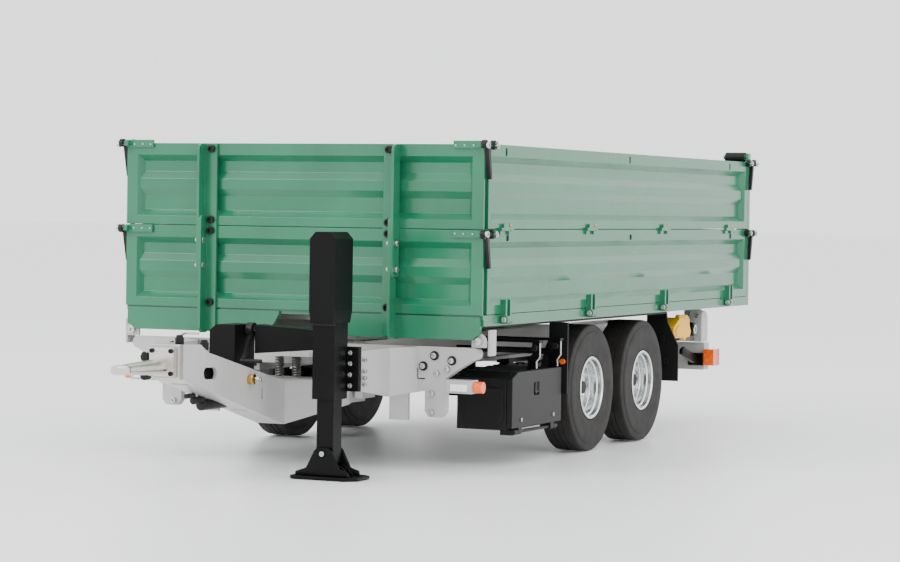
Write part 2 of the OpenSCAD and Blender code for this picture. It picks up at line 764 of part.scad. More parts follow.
// ---------------------------------------------------------------- wheels
// Radius and place across the wheel, from its outer face inwards
module tyre_shape() {
    bead = 15.4;
    rotate_extrude($fn = 96) polygon([
        [bead, 0.8], [20, 0.2], [26.5, 0], [29.6, 0.9], [tyre_r - 0.3, 2.4],
        [tyre_r, 4], [tyre_r, tyre_w - 4], [tyre_r - 0.3, tyre_w - 2.4], [29.6, tyre_w - 0.9],
        [26.5, tyre_w], [20, tyre_w - 0.2], [bead, tyre_w - 0.8]]);
}
module rim_shape() {
    well = 13.4;
    difference() {
        rotate_extrude($fn = 96) polygon([
            [spindle_r + 0.06, 6.4], [4.4, 6.4], [5.4, 9.4], [10, 10], [12.2, 11],
            [12.9, 9], [well, 1.2], [14.4, 0.3], [15.4, 0.3], [15.4, tyre_w - 0.3], [14.2, tyre_w - 0.3],
            [13, 13.4], [9, 11.4], [spindle_r + 0.06, 11.4]]);
        for (a = [0:36:359]) rotate([0, 0, a]) translate([11, 0, 5]) cylinder(r = 0.9, h = 9);
    }
}
module wheel_place(side, y) {
    placed() mirror([side < 0 ? 1 : 0, 0, 0])
        translate([tyre_face, y, tyre_r]) rotate([0, -90, 0]) children();
}
rear_axle_y = axle_y + axle_gap;
module tyre_front_left() { color("#3a3634") wheel_place(-1, axle_y) tyre_shape(); }
module tyre_front_right() { color("#3a3634") wheel_place(1, axle_y) tyre_shape(); }
module tyre_rear_left() { color("#3a3634") wheel_place(-1, rear_axle_y) tyre_shape(); }
module tyre_rear_right() { color("#3a3634") wheel_place(1, rear_axle_y) tyre_shape(); }
module rim_front_left() { color(STEEL) wheel_place(-1, axle_y) rim_shape(); }
module rim_front_right() { color(STEEL) wheel_place(1, axle_y) rim_shape(); }
module rim_rear_left() { color(STEEL) wheel_place(-1, rear_axle_y) rim_shape(); }
module rim_rear_right() { color(STEEL) wheel_place(1, rear_axle_y) rim_shape(); }

// ---------------------------------------------------------------- tipping cylinder
// Outside radius of the barrel and of each stage, one inside the other
stage_step = 1.15;
stage_gap = 0.05;
barrel_r = 9;
function stage_r(i) = barrel_r - stage_step * i + (i == 0 ? 0 : -stage_gap);
module cylinder_tube(i) {
    z0 = i == 0 ? 22 : 24 + 0.3 * i;
    translate([0, cradle_y, z0]) difference() {
        cylinder(r = stage_r(i), h = 58 + 0.6 * i - z0);
        translate([0, 0, i == 0 ? 2 : -1]) cylinder(r = stage_r(i + 1) + stage_gap, h = 60);
    }
}
module cylinder_barrel() {
    color(BLACK) placed() {
        cylinder_tube(0);
        both_sides() along_x(barrel_r - 0.5, cradle_y, cradle_z, 2, 5.2);
    }
}
module cylinder_stage_1() { color(STEEL) placed() cylinder_tube(1); }
module cylinder_stage_2() { color(STEEL) placed() cylinder_tube(2); }
module cylinder_stage_3() { color(STEEL) placed() cylinder_tube(3); }
module cylinder_stage_4() {
    head_z = 63.8;
    color(STEEL) placed() {
        translate([0, cradle_y, 25.2]) cylinder(r = stage_r(4), h = 35.2);
        difference() {
            along_x(-2.2, cradle_y, head_z, 4.3, 4.4);
            along_x(-3, cradle_y, head_z, 2.9, 6);
        }
    }
}

// ---------------------------------------------------------------- latches
// Lever with a hook; its mouth opens down on the upper boards and up on the lower ones
module latch_shape(mouth_up) {
    lean = -3.6;
    drop = 14.4;
    slot = latch_pin_r + 0.35;
    hub_r = 2.1;
    difference() {
        union() {
            along_x(latch_x, 0, 0, hub_r, latch_t);
            block(latch_x, latch_x + latch_t, -latch_reach, 0, -1, 1);
            along_x(latch_x, -latch_reach, 0, hub_r, latch_t);
            side_plate(latch_x, latch_t)
                polygon([[-7.6, -0.8], [-5, -0.8], [lean + 0.8, -drop], [lean - 0.8, -drop]]);
            along_x(latch_x, lean, -drop, 0.85, latch_t);
        }
        along_x(latch_x - 1, 0, 0, 1.07, latch_t + 2);
        along_x(latch_x - 1, -latch_reach, 0, slot, latch_t + 2);
        block(latch_x - 1, latch_x + latch_t + 1, -latch_reach - slot, -latch_reach + slot,
            mouth_up ? 0 : -4, mouth_up ? 4 : 0);
    }
}
module latch(side, rear, z) {
    color(BLACK) placed() mirror([side < 0 ? 1 : 0, 0, 0])
        translate([0, rear ? bed_l - latch_inset : latch_inset, z]) mirror([0, rear ? 1 : 0, 0])
        latch_shape(z < seam_z);
}
top_latch_z = wall_top - latch_top_drop;
low_latch_z = seam_z - latch_low_drop;
module latch_front_upper_right() { latch(1, false, top_latch_z); }
module latch_front_lower_right() { latch(1, false, low_latch_z); }
module latch_rear_upper_right() { latch(1, true, top_latch_z); }
module latch_rear_lower_right() { latch(1, true, low_latch_z); }
module latch_front_upper_left() { latch(-1, false, top_latch_z); }
module latch_front_lower_left() { latch(-1, false, low_latch_z); }
module latch_rear_upper_left() { latch(-1, true, top_latch_z); }
module latch_rear_lower_left() { latch(-1, true, low_latch_z); }

chassis_rails();
cross_members();
front_bolster();
rear_bolster();
bolster_bolts();
axle_beams();
leaf_springs();
mudguards();
underrun_bar();
rear_brackets();
amber_lenses();
red_lenses();
marker_lamps();
toolbox_shell();
toolbox_straps();
toolbox_door();
wheel_chocks();
jack_tube();
jack_gearbox();
jack_leg();
jack_foot();
jack_crank();
drawbar_beam();
towing_eye();
drawbar_springs();
bed_floor();
bed_subframe();
front_board_lower();
front_board_upper();
front_posts();
post_bolts();
corner_posts();
latch_keepers();
side_lower_right();
side_upper_right();
side_lower_left();
side_upper_left();
tailgate_upper();
tailgate_lower();
tyre_front_left();
rim_front_left();
tyre_front_right();
rim_front_right();
tyre_rear_left();
rim_rear_left();
tyre_rear_right();
rim_rear_right();
cylinder_barrel();
cylinder_stage_1();
cylinder_stage_2();
cylinder_stage_3();
cylinder_stage_4();
latch_front_upper_right();
latch_front_lower_right();
latch_rear_upper_right();
latch_rear_lower_right();
latch_front_upper_left();
latch_front_lower_left();
latch_rear_upper_left();
latch_rear_lower_left();
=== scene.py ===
import math

import bpy
from mathutils import Matrix, Vector


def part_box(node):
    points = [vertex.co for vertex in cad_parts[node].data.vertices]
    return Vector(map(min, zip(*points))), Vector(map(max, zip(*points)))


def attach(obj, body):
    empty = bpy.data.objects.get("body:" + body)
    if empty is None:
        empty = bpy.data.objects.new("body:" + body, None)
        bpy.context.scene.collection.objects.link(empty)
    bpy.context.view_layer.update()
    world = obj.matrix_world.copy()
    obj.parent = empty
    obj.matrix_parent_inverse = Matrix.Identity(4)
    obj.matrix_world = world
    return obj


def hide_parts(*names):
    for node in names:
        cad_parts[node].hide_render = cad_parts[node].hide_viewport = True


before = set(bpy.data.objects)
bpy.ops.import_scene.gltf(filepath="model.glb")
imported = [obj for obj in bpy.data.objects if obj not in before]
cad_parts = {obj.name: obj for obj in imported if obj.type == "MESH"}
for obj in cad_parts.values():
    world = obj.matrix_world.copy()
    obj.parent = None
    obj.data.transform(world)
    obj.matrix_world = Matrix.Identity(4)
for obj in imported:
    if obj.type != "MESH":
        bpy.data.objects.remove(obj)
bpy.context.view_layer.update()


# --- Chassis frame -------------------------------------------------------------------------------
# Channel rails, cross members and bolsters, folded from sheet steel and welded, then sprayed with
# light grey enamel. Socket screws with dark washers hold the bolster to the brackets behind it.

def linear(code):
    """An sRGB hex colour as linear red, green, blue and a full alpha"""
    channels = [int(code[i:i + 2], 16) / 255 for i in (1, 3, 5)]
    return [c / 12.92 if c <= 0.04045 else ((c + 0.055) / 1.055) ** 2.4 for c in channels] + [1.0]


def add(material, kind, settings=None, **sockets):
    """Adds a shader node, sets it up and links or fills its sockets"""
    node = material.node_tree.nodes.new("ShaderNode" + kind)
    for name, value in (settings or {}).items():
        setattr(node, name, value)
    for label, value in sockets.items():
        socket = node.inputs[label.replace("_", " ")]
        if isinstance(value, bpy.types.NodeSocket):
            material.node_tree.links.new(value, socket)
        else:
            socket.default_value = value
    return node


def blank(name):
    """A new material with its shader, and the piece's own coordinates in metres"""
    material = bpy.data.materials.new(name)
    material.use_nodes = True
    shader = material.node_tree.nodes["Principled BSDF"]
    place = add(material, "TexCoord").outputs["Object"]
    return material, shader, place


def sprayed(name, light, deep, roughness, coat, peel_mm, peel_depth_mm):
    """Sprayed enamel: two close shades in soft clouds, orange peel and softened edges"""
    material, shader, place = blank(name)
    clouds = add(material, "TexNoise", Vector=place, Scale=28.0, Detail=3.0)
    shades = add(material, "ValToRGB", Fac=clouds.outputs["Fac"])
    shades.color_ramp.elements[0].position = 0.3
    shades.color_ramp.elements[1].position = 0.7
    shades.color_ramp.elements[0].color = linear(deep)
    shades.color_ramp.elements[1].color = linear(light)
    rough = add(material, "MapRange", Value=clouds.outputs["Fac"], To_Min=roughness - 0.04,
                To_Max=roughness + 0.06)
    peel = add(material, "TexNoise", Vector=place, Scale=1000 / peel_mm, Detail=1.0)
    edge = add(material, "Bevel", {"samples": 6}, Radius=0.0003)
    bump = add(material, "Bump", Height=peel.outputs["Fac"], Strength=0.35,
               Distance=peel_depth_mm / 1000, Normal=edge.outputs["Normal"])
    material.node_tree.links.new(shades.outputs["Color"], shader.inputs["Base Color"])
    material.node_tree.links.new(rough.outputs["Result"], shader.inputs["Roughness"])
    material.node_tree.links.new(bump.outputs["Normal"], shader.inputs["Normal"])
    shader.inputs["IOR"].default_value = 1.5
    shader.inputs["Coat Weight"].default_value = coat
    shader.inputs["Coat Roughness"].default_value = 0.08
    return material


def finish_nodes(material, *names):
    """Gives carried-over nodes their material"""
    for name in names:
        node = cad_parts[name]
        node.data.materials.clear()
        node.data.materials.append(material)


# Light grey enamel: an even satin sheen, slightly warm, with a faint orange peel
grey_enamel = sprayed("light_grey_enamel", "#b4b4b2", "#a8a8a6", 0.34, 0.2, 1.2, 0.02)
finish_nodes(grey_enamel, "chassis_rails", "cross_members", "front_bolster", "rear_bolster",
             "underrun_bar")

# Zinc-plated steel screws: bright, slightly milky, a soft sparkle from the rolled surface
zinc, shader, place = blank("zinc_plated_steel")
grain = add(zinc, "TexNoise", Vector=place, Scale=1400.0, Detail=2.0)
tone = add(zinc, "ValToRGB", Fac=grain.outputs["Fac"])
tone.color_ramp.elements[0].color = linear("#9fa1a2")
tone.color_ramp.elements[1].color = linear("#d6d7d6")
rub = add(zinc, "MapRange", Value=grain.outputs["Fac"], To_Min=0.2, To_Max=0.36)
zinc.node_tree.links.new(tone.outputs["Color"], shader.inputs["Base Color"])
zinc.node_tree.links.new(rub.outputs["Result"], shader.inputs["Roughness"])
shader.inputs["Metallic"].default_value = 1.0

# Blackened steel: chemical black with an oily half-gloss, a little brown where it is handled
black_steel, shader, place = blank("blackened_steel")
cloud = add(black_steel, "TexNoise", Vector=place, Scale=420.0, Detail=3.0)
tone = add(black_steel, "ValToRGB", Fac=cloud.outputs["Fac"])
tone.color_ramp.elements[0].color = linear("#17171a")
tone.color_ramp.elements[1].color = linear("#2b2929")
pits = add(black_steel, "Bump", Height=cloud.outputs["Fac"], Strength=0.2, Distance=0.00003)
black_steel.node_tree.links.new(tone.outputs["Color"], shader.inputs["Base Color"])
black_steel.node_tree.links.new(pits.outputs["Normal"], shader.inputs["Normal"])
shader.inputs["Roughness"].default_value = 0.42
shader.inputs["Metallic"].default_value = 0.35
shader.inputs["Specular IOR Level"].default_value = 0.25


front_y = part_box("front_board_lower")[0].y


def at(x, y, z):
    """Millimetres from the bed's front corner line to metres in the shared frame"""
    return Vector((x / 1000, front_y + y / 1000, z / 1000))


def deselect():
    """Clears the selection, because an operator acts on all that is selected"""
    bpy.ops.object.select_all(action="DESELECT")


def choose_faces(piece, test):
    """Selects the faces that pass the test on their centre and normal, in the piece's own
    coordinates in mm"""
    bpy.ops.object.mode_set(mode="EDIT")
    bpy.ops.mesh.select_mode(type="FACE")
    bpy.ops.mesh.select_all(action="DESELECT")
    bpy.ops.object.mode_set(mode="OBJECT")
    for face in piece.data.polygons:
        face.select = test(face.center * 1000, face.normal)
    bpy.ops.object.mode_set(mode="EDIT")


def settle(piece, name, material, body, bevel_mm=0.0, smooth=40):
    """Applies the bevel and the placement, and hands the piece to its body and finish"""
    if bpy.context.object and bpy.context.object.mode != "OBJECT":
        bpy.ops.object.mode_set(mode="OBJECT")
    deselect()
    piece.select_set(True)
    bpy.context.view_layer.objects.active = piece
    bpy.ops.object.transform_apply(location=True, rotation=True, scale=True)
    if bevel_mm:
        edge = piece.modifiers.new("edge", "BEVEL")
        edge.width = bevel_mm / 1000
        edge.segments = 2
        edge.limit_method = "ANGLE"
        edge.angle_limit = math.radians(35)
        bpy.ops.object.modifier_apply(modifier=edge.name)
    bpy.ops.object.shade_smooth_by_angle(angle=math.radians(smooth))
    piece.name = name
    piece.data.name = name
    piece.data.materials.clear()
    piece.data.materials.append(material)
    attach(piece, body)
    return piece


# Axis names to the turn that lays a piece made along +Z on that axis
TURNS = {"+x": (0, math.pi / 2, 0), "-x": (0, -math.pi / 2, 0), "+y": (-math.pi / 2, 0, 0),
         "-y": (math.pi / 2, 0, 0), "+z": (0, 0, 0), "-z": (math.pi, 0, 0)}


def plate(outline, flat, start, thickness):
    """A flat plate from its outline in mm: flat is "x", "y" or "z", the axis it is thick along"""
    deselect()
    bpy.ops.mesh.primitive_circle_add(vertices=len(outline), radius=0.01)
    piece = bpy.context.object
    order = {"x": lambda a, b: (start, a, b), "y": lambda a, b: (a, start, b),
             "z": lambda a, b: (a, b, start)}[flat]
    for vertex, (a, b) in zip(piece.data.vertices, outline):
        vertex.co = at(*order(a, b))
    way = {"x": (1, 0, 0), "y": (0, 1, 0), "z": (0, 0, 1)}[flat]
    bpy.ops.object.mode_set(mode="EDIT")
    bpy.ops.mesh.select_all(action="SELECT")
    bpy.ops.mesh.edge_face_add()
    bpy.ops.mesh.extrude_region_move(
        TRANSFORM_OT_translate={"value": Vector(way) * thickness / 1000})
    bpy.ops.mesh.select_all(action="SELECT")
    bpy.ops.mesh.normals_make_consistent(inside=False)
    bpy.ops.object.mode_set(mode="OBJECT")
    return piece


def cap_screw(radius, height, socket=0.5):
    """A cap screw head along +Z at the origin, with its socket sunk by inset and extrude"""
    deselect()
    bpy.ops.mesh.primitive_cylinder_add(vertices=20, radius=radius / 1000, depth=height / 1000,
                                        location=(0, 0, height / 2000))
    bpy.ops.object.transform_apply(location=True, rotation=True, scale=True)
    head = bpy.context.object
    choose_faces(head, lambda c, n: n.z > 0.9)
    bpy.ops.mesh.inset(thickness=radius * (1 - socket) / 1000, depth=0)
    bpy.ops.mesh.extrude_region_move(
        TRANSFORM_OT_translate={"value": (0, 0, -0.55 * height / 1000)})
    bpy.ops.object.mode_set(mode="OBJECT")
    choose_faces(head, lambda c, n: abs(n.z) < 0.3 and c.xy.length > radius * 0.8)
    bpy.ops.mesh.region_to_loop()
    bpy.ops.mesh.bevel(offset=0.12 * radius / 1000, segments=2, affect="EDGES")
    bpy.ops.object.mode_set(mode="OBJECT")
    return head


def repeated(pattern, spots):
    """Copies a pattern, each copy with its own mesh, to (x, y, z, axis) spots and joins them"""
    copies = []
    for x, y, z, way in spots:
        twin = pattern.copy()
        twin.data = pattern.data.copy()
        twin.rotation_euler = TURNS[way]
        twin.location = at(x, y, z)
        bpy.context.collection.objects.link(twin)
        copies.append(twin)
    bpy.data.objects.remove(pattern)
    deselect()
    for twin in copies:
        twin.select_set(True)
    bpy.context.view_layer.objects.active = copies[0]
    if len(copies) > 1:
        bpy.ops.object.join()
    return bpy.context.object


def both(spots):
    """The same spots on both sides of the centre line"""
    other = {"+x": "-x", "-x": "+x"}
    return spots + [(-x, y, z, other.get(way, way)) for x, y, z, way in spots]


plate_y = 3.0
large_screws = [(67, 52), (75.6, 50), (61.6, 47.2)]
small_screws = [(68.3, 44.2), (73.4, 46.2), (66, 35), (66, 26.6)]
washers = repeated(cap_screw(2.15, 0.8, 0.72),
                   both([(x, plate_y, z, "-y") for x, z in large_screws]))
settle(washers, "bolster_washers", black_steel, "chassis", 0.0)
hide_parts("bolster_bolts")
heads = repeated(cap_screw(1.3, 1.7),
                 both([(x, plate_y, z, "-y") for x, z in large_screws + small_screws]))
settle(heads, "bolster_screws", zinc, "chassis", 0.0)

# Rounded ears with a screw in each at the ends of the bolster, and a strap folded back from each
ear_x, ear_z, ear_radius = 88.6, 59, 3.6
for side, sign in (("right", 1), ("left", -1)):
    ear = plate([(sign * (ear_x + ear_radius * math.cos(a)), ear_z + ear_radius * math.sin(a))
                 for a in [math.radians(d) for d in range(0, 181, 20)]]
                + [(sign * 85, 56.2), (sign * 92.2, 56.2)], "y", 2.4, 1.2)
    settle(ear, "bolster_ear_" + side, grey_enamel, "chassis", 0.25)
    strap = plate([(sign * 92.2, 4), (sign * 93.4, 4), (sign * 93.4, 11), (sign * 92.2, 11)],
                  "z", 52.5, 11.6)
    settle(strap, "bolster_strap_" + side, grey_enamel, "chassis", 0.2)
ear_screws = repeated(cap_screw(1.8, 1.6, 0.45), both([(ear_x, 2.4, ear_z, "-y")]))
settle(ear_screws, "bolster_ear_screws", zinc, "chassis", 0.0)


# --- Axles and springs ---------------------------------------------------------------------------
# Square axle beams on leaf springs, painted black like the brackets and the cross tube at the rear.
# U-bolts clamp each spring to its axle.

black_enamel = sprayed("black_enamel", "#0b0b0c", "#070708", 0.38, 0.0, 1.0, 0.02)
black_enamel.node_tree.nodes["Principled BSDF"].inputs["Specular IOR Level"].default_value = 0.12
finish_nodes(black_enamel, "axle_beams", "leaf_springs", "rear_brackets", "cylinder_barrel")


def nut(radius, height):
    """A hexagon nut along +Z at the origin with a domed, inset top"""
    deselect()
    bpy.ops.mesh.primitive_cylinder_add(vertices=6, radius=radius / 1000, depth=height / 1000,
                                        location=(0, 0, height / 2000))
    bpy.ops.object.transform_apply(location=True, rotation=True, scale=True)
    hexagon = bpy.context.object
    choose_faces(hexagon, lambda c, n: n.z > 0.9)
    bpy.ops.mesh.inset(thickness=0.3 * radius / 1000, depth=0.12 * height / 1000)
    bpy.ops.mesh.inset(thickness=0.12 * radius / 1000, depth=0)
    bpy.ops.mesh.extrude_region_move(
        TRANSFORM_OT_translate={"value": (0, 0, 0.3 * height / 1000)})
    bpy.ops.object.mode_set(mode="OBJECT")
    return hexagon


axle_ys = [143.7, 215.7]
spring_x = 27.5
clamp_z = 27.4
clamps = repeated(nut(1.1, 1.6), both([(spring_x + dx, y + dy, clamp_z, "-z") for y in axle_ys
                                       for dx in (-3.6, 3.6) for dy in (-2.4, 2.4)]))
settle(clamps, "spring_clamp_nuts", zinc, "chassis", 0.0)


# --- Mudguards -----------------------------------------------------------------------------------
# Guards bent from black plastic sheet: a roof over the wheels, a narrow flap before them and one
# across behind them. Two cap screws hold each rear flap from the wheel's side.

# Extruded ABS sheet: nearly black, matt, with a fine haircell grain
black_sheet, shader, place = blank("black_abs_sheet")
cell = add(black_sheet, "TexVoronoi", Vector=place, Scale=1600.0)
tone = add(black_sheet, "ValToRGB", Fac=cell.outputs["Distance"])
tone.color_ramp.elements[0].color = linear("#0b0b0c")
tone.color_ramp.elements[1].color = linear("#121213")
grain = add(black_sheet, "Bump", Height=cell.outputs["Distance"], Strength=0.25, Distance=0.00004)
black_sheet.node_tree.links.new(tone.outputs["Color"], shader.inputs["Base Color"])
black_sheet.node_tree.links.new(grain.outputs["Normal"], shader.inputs["Normal"])
shader.inputs["Roughness"].default_value = 0.55
shader.inputs["Specular IOR Level"].default_value = 0.25
finish_nodes(black_sheet, "mudguards")
flap_y = 268
flap_screws = repeated(cap_screw(1.5, 0.9),
                       both([(79.5, flap_y, 50.4, "-y"), (81.6, flap_y, 38.6, "-y")]))
settle(flap_screws, "mudguard_screws", black_steel, "chassis", 0.0)


# --- Wheels --------------------------------------------------------------------------------------
# Moulded rubber tyres on deep rims turned from aluminium bar. Each rim has a ring of ten small
# nuts on its disc, and a stepped barrel that catches the light.

def rod(x, y, z, radius, length, way, sides=24):
    """A round bar from a point along an axis, all in mm, left selected and active"""
    deselect()
    bpy.ops.mesh.primitive_cylinder_add(vertices=sides, radius=radius / 1000, depth=length / 1000,
                                        location=(0, 0, length / 2000))
    bpy.ops.object.transform_apply(location=True, rotation=True, scale=True)
    piece = bpy.context.object
    piece.rotation_euler = TURNS[way]
    piece.location = at(x, y, z)
    return piece


def turned(section, centre):
    """Spins a closed section, given as (distance from the axle line, place along X) in mm"""
    deselect()
    bpy.ops.mesh.primitive_circle_add(vertices=len(section), radius=0.01)
    piece = bpy.context.object
    for vertex, (radius, along) in zip(piece.data.vertices, section):
        vertex.co = centre + Vector((along / 1000, 0, radius / 1000))
    bpy.ops.object.mode_set(mode="EDIT")
    bpy.ops.mesh.select_all(action="SELECT")
    bpy.ops.mesh.spin(steps=96, angle=2 * math.pi, center=centre, axis=(1, 0, 0))
    bpy.ops.mesh.select_all(action="SELECT")
    bpy.ops.mesh.remove_doubles(threshold=0.00001)
    bpy.ops.mesh.normals_make_consistent(inside=False)
    bpy.ops.object.mode_set(mode="OBJECT")
    return piece


def wheel_rings(material, place, centre):
    """Distance from the axle line, so that turning marks run round the wheel, and the place as
    measured from the wheel's centre"""
    offset = add(material, "Mapping", Vector=place)
    offset.inputs["Location"].default_value = (0, -centre.y, -centre.z)
    parts = add(material, "SeparateXYZ", Vector=offset.outputs["Vector"])
    flat = add(material, "CombineXYZ", Y=parts.outputs["Y"], Z=parts.outputs["Z"])
    distance = add(material, "VectorMath", {"operation": "LENGTH"}, Vector=flat.outputs["Vector"])
    return distance, offset


outer_face, tyre_width = 88.0, 16.5
axle_z, tyre_radius = 31, 31
nut_circle, nut_depth, cap_depth = 8.6, 9.2, 6.6
for row, axle_y in (("front", axle_ys[0]), ("rear", axle_ys[1])):
    centre = at(0, axle_y, axle_z)

    # Tyre rubber: warm dark grey, matt, with moulded rings on the wall and a dusty tread
    rubber, shader, place = blank("tyre_rubber_" + row)
    ring, local = wheel_rings(rubber, place, centre)
    dust = add(rubber, "TexNoise", Vector=local.outputs["Vector"], Scale=160.0, Detail=4.0)
    tone = add(rubber, "ValToRGB", Fac=dust.outputs["Fac"])
    tone.color_ramp.elements[0].position = 0.3
    tone.color_ramp.elements[1].position = 0.75
    tone.color_ramp.elements[0].color = linear("#171514")
    tone.color_ramp.elements[1].color = linear("#2a2725")
    lines = add(rubber, "Math", {"operation": "SINE"})
    steps = add(rubber, "Math", {"operation": "MULTIPLY"})
    steps.inputs[1].default_value = 5200.0
    rubber.node_tree.links.new(ring.outputs["Value"], steps.inputs[0])
    rubber.node_tree.links.new(steps.outputs["Value"], lines.inputs[0])
    fine = add(rubber, "TexNoise", Vector=local.outputs["Vector"], Scale=1800.0, Detail=2.0)
    relief = add(rubber, "Bump", Height=lines.outputs["Value"], Strength=0.12, Distance=0.00005)
    grit = add(rubber, "Bump", Height=fine.outputs["Fac"], Strength=0.3, Distance=0.00005,
               Normal=relief.outputs["Normal"])
    rubber.node_tree.links.new(tone.outputs["Color"], shader.inputs["Base Color"])
    rubber.node_tree.links.new(grit.outputs["Normal"], shader.inputs["Normal"])
    shader.inputs["Roughness"].default_value = 0.68
    shader.inputs["Specular IOR Level"].default_value = 0.35

    # Turned and polished aluminium: mirror-bright, with fine turning marks that stretch the glints
    polished, shader, place = blank("polished_aluminium_" + row)
    ring, local = wheel_rings(polished, place, centre)
    marks = add(polished, "TexNoise", {"noise_dimensions": "1D"}, Scale=3800.0, Detail=2.0)
    polished.node_tree.links.new(ring.outputs["Value"], marks.inputs["W"])
    tone = add(polished, "ValToRGB", Fac=marks.outputs["Fac"])
    tone.color_ramp.elements[0].color = linear("#c9cbcc")
    tone.color_ramp.elements[1].color = linear("#f2f3f3")
    cut = add(polished, "Bump", Height=marks.outputs["Fac"], Strength=0.1, Distance=0.00001)
    polished.node_tree.links.new(tone.outputs["Color"], shader.inputs["Base Color"])
    polished.node_tree.links.new(cut.outputs["Normal"], shader.inputs["Normal"])
    shader.inputs["Metallic"].default_value = 1.0
    shader.inputs["Roughness"].default_value = 0.17

    for side, sign in (("left", -1), ("right", 1)):
        def across(depth):
            """Place along X of a point that lies this far in from the tyre's outer face"""
            return sign * (outer_face - depth)

        wall = [(15.4, 1.2), (15.9, 0.5), (17.4, 0.25), (20.0, 0.35), (23.4, 0.1), (26.2, 0.0),
                (27.3, 0.12), (27.6, 0.4), (28.8, 0.45), (30.3, 0.6), (30.85, 1.1),
                (tyre_radius, 2.2)]
        grooves = [(tyre_radius - sunk, d) for sunk, d in
                   ((0, 3.0), (0, 5.2), (0.4, 5.3), (0.4, 5.6), (0, 5.7), (0, 7.9), (0.4, 8.0))]
        half = wall + grooves
        section = [(r, across(d)) for r, d in half]
        section += [(r, across(tyre_width - d)) for r, d in reversed(half)]
        tyre = turned(section, centre)
        settle(tyre, "tyre_%s_%s_moulded" % (row, side), rubber, "wheel_%s_%s" % (row, side),
               0.0, 33)
        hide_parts("tyre_%s_%s" % (row, side))

        dish = [(15.3, 1.0), (15.3, 0.3), (14.9, 0.0), (14.3, 0.1), (14.0, 0.5), (13.8, 2.4),
                (13.1, 3.0), (12.9, 6.2), (12.6, 6.5), (12.4, 8.8), (11.9, 9.2), (11.4, 9.3),
                (6.2, 9.1), (5.6, 8.7), (5.2, 6.9), (4.6, 6.4), (3.1, 6.4), (3.1, 11.4), (9, 11.4),
                (13, 13.4), (14.2, 16.2), (15.3, 16.2)]
        rim = turned([(r, across(d)) for r, d in dish], centre)
        settle(rim, "rim_%s_%s_turned" % (row, side), polished, "wheel_%s_%s" % (row, side),
               0.0, 28)
        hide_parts("rim_%s_%s" % (row, side))
        way = "+x" if sign > 0 else "-x"
        ring_nuts = [(across(nut_depth), axle_y + nut_circle * math.cos(a),
                      axle_z + nut_circle * math.sin(a), way)
                     for a in [math.radians(36 * i) for i in range(10)]]
        nuts = repeated(nut(1.0, 1.2), ring_nuts)
        settle(nuts, "wheel_nuts_%s_%s" % (row, side), zinc, "wheel_%s_%s" % (row, side),
               0.0)
        cap = rod(across(cap_depth), axle_y, axle_z, 2.9, 1.6, way)
        choose_faces(cap, lambda c, n: n.z > 0.9)
        bpy.ops.mesh.inset(thickness=0.0007, depth=0.0004)
        settle(cap, "hub_cap_%s_%s" % (row, side), zinc, "wheel_%s_%s" % (row, side),
               0.15)


# --- Drawbar -------------------------------------------------------------------------------------
# A narrow box folded and welded from sheet, flared at its root, in the same grey enamel. The turned
# eye is bolted to its nose, and two coil springs carry it. Couplings sit on, beside and under it.

finish_nodes(grey_enamel, "drawbar_beam")

# Turned stainless steel: pale and a little warm, with a soft lengthwise highlight
eye_steel, shader, place = blank("turned_stainless")
swirl = add(eye_steel, "TexNoise", Vector=place, Scale=900.0, Detail=2.0)
tone = add(eye_steel, "ValToRGB", Fac=swirl.outputs["Fac"])
tone.color_ramp.elements[0].color = linear("#bdb8b0")
tone.color_ramp.elements[1].color = linear("#dcd8d2")
cut = add(eye_steel, "Bump", Height=swirl.outputs["Fac"], Strength=0.2, Distance=0.00002)
eye_steel.node_tree.links.new(tone.outputs["Color"], shader.inputs["Base Color"])
eye_steel.node_tree.links.new(cut.outputs["Normal"], shader.inputs["Normal"])
shader.inputs["Metallic"].default_value = 1.0
shader.inputs["Roughness"].default_value = 0.27
finish_nodes(eye_steel, "towing_eye")

# Hard-drawn spring wire: dark grey with a bright line along each turn
spring_wire, shader, place = blank("spring_wire")
scale = add(spring_wire, "TexNoise", Vector=place, Scale=700.0, Detail=2.0)
tone = add(spring_wire, "ValToRGB", Fac=scale.outputs["Fac"])
tone.color_ramp.elements[0].color = linear("#4a4744")
tone.color_ramp.elements[1].color = linear("#8a8682")
spring_wire.node_tree.links.new(tone.outputs["Color"], shader.inputs["Base Color"])
shader.inputs["Metallic"].default_value = 1.0
shader.inputs["Roughness"].default_value = 0.3
finish_nodes(spring_wire, "drawbar_springs")

# Turned brass: warm yellow, with a fine mottle of paler specks from the tool
brass, shader, place = blank("turned_brass")
mark = add(brass, "TexNoise", Vector=place, Scale=1100.0, Detail=2.0)
tone = add(brass, "ValToRGB", Fac=mark.outputs["Fac"])
tone.color_ramp.elements[0].color = linear("#b98a3a")
tone.color_ramp.elements[1].color = linear("#e2bd6c")
brass.node_tree.links.new(tone.outputs["Color"], shader.inputs["Base Color"])
shader.inputs["Metallic"].default_value = 1.0
shader.inputs["Roughness"].default_value = 0.25

flange_face = -122.7
nose_screws = repeated(cap_screw(1.0, 0.8, 0.6),
                       [(x, flange_face, z, "-y") for x in (-4.5, 4.5) for z in (47.6, 57.0)])
settle(nose_screws, "eye_flange_screws", black_steel, "drawbar", 0.0)
frame_plate = plate([(-6.6, 45.6), (6.6, 45.6), (6.6, 59.2), (-6.6, 59.2)], "y", -119.8, 0.8)
choose_faces(frame_plate, lambda c, n: n.y < -0.9)
bpy.ops.mesh.inset(thickness=0.0006, depth=-0.0003)
settle(frame_plate, "eye_backing_plate", grey_enamel, "drawbar", 0.25)

